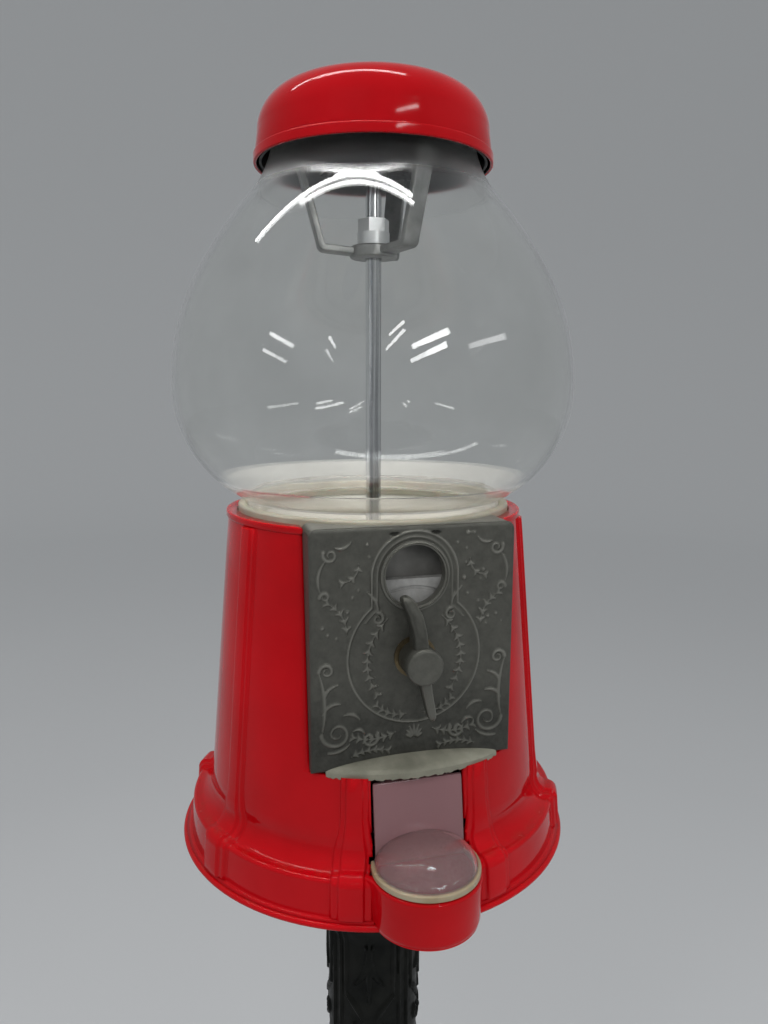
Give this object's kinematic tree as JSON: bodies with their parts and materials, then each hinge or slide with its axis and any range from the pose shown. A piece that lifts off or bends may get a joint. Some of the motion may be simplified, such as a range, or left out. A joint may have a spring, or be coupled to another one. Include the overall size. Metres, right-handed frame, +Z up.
{
  "type": "gumball machine",
  "caption": "Coin-operated gumball machine: pear-shaped glass globe and domed lid on a ribbed red casing with a coin plate, turn handle and flap door, on a black cast pedestal.",
  "frame": {"origin": "on the floor, below the centre rod", "axes": "+Z up along the centre rod, -Y to the front where the handle and the door are"},
  "size_m": [0.3, 0.3, 0.9281],
  "materials": {
    "red_enamel": "gloss red enamel on a casting",
    "pewter": "dark antiqued grey casting",
    "coin_steel": "plain steel sheet",
    "chrome": "polished chrome",
    "zinc": "dull zinc plate",
    "brass": "plain brass",
    "globe_glass": "clear pressed glass",
    "clear_plastic": "clear moulded plastic, slightly yellowed",
    "cream_plastic": "milky moulded plastic, yellowed",
    "black_plastic": "black moulded plastic",
    "black_rubber": "soft black ring",
    "black_iron": "black paint on cast iron"
  },
  "bodies": {
    "machine": {"body_casing": "red_enamel", "coin_plate": "pewter", "backing_plate": "coin_steel", "gumball_chute": "coin_steel", "bottom_plate": "coin_steel", "centre_rod": "chrome", "spider_bracket": "zinc", "rod_collar": "zinc", "rod_nut": "zinc", "bottom_screws": "zinc", "plate_posts": "zinc", "plate_screws": "zinc", "chute_screws": "zinc", "stand_bolts": "zinc", "stand_nuts": "zinc", "tie_rod": "zinc", "tie_nut": "zinc", "rod_coupling": "zinc", "shaft_bush": "brass", "handle_washer": "brass", "glass_globe": "globe_glass", "globe_seat": "cream_plastic", "hopper": "cream_plastic", "wheel_housing": "cream_plastic", "strike_plate": "cream_plastic", "mouth_gasket": "black_rubber", "stand_flange": "black_iron", "stand_column": "black_iron", "stand_base": "black_iron"},
    "handle": {"turn_handle": "pewter", "drive_shaft": "zinc", "coin_wheel": "coin_steel", "drive_pinion": "cream_plastic", "shaft_clip": "zinc"},
    "wheel": {"gumball_wheel": "cream_plastic", "crown_gear": "cream_plastic", "wheel_bush": "cream_plastic"},
    "door": {"chute_door": "clear_plastic", "door_pin": "zinc"},
    "lid": {"lid_shell": "red_enamel", "lid_liner": "black_plastic"},
    "lock": {"lid_lock": "chrome"}
  },
  "joints": [
    {"name": "handle_turn", "type": "hinge", "parent": "machine", "child": "handle", "pos_m": [0, -0.075, 0.661], "axis": [0, 1, 0], "continuous": true},
    {"name": "wheel_turn", "type": "hinge", "parent": "machine", "child": "wheel", "pos_m": [0, 0, 0.687], "axis": [0, 0, 1], "continuous": true},
    {"name": "door_swing", "type": "hinge", "parent": "machine", "child": "door", "pos_m": [0, -0.0765, 0.601], "axis": [-1, 0, 0], "range_deg": [0, 65]},
    {"name": "lid_lift", "type": "slide", "parent": "machine", "child": "lid", "axis": [0, 0, 1], "range_m": [0, 0.12]},
    {"name": "lock_turn", "type": "hinge", "parent": "lid", "child": "lock", "pos_m": [0, 0, 0.915], "axis": [0, 0, 1], "continuous": true}
  ],
  "couplings": [
    {"joint": "wheel_turn", "follows": "handle_turn", "ratio": 0.25}
  ]
}
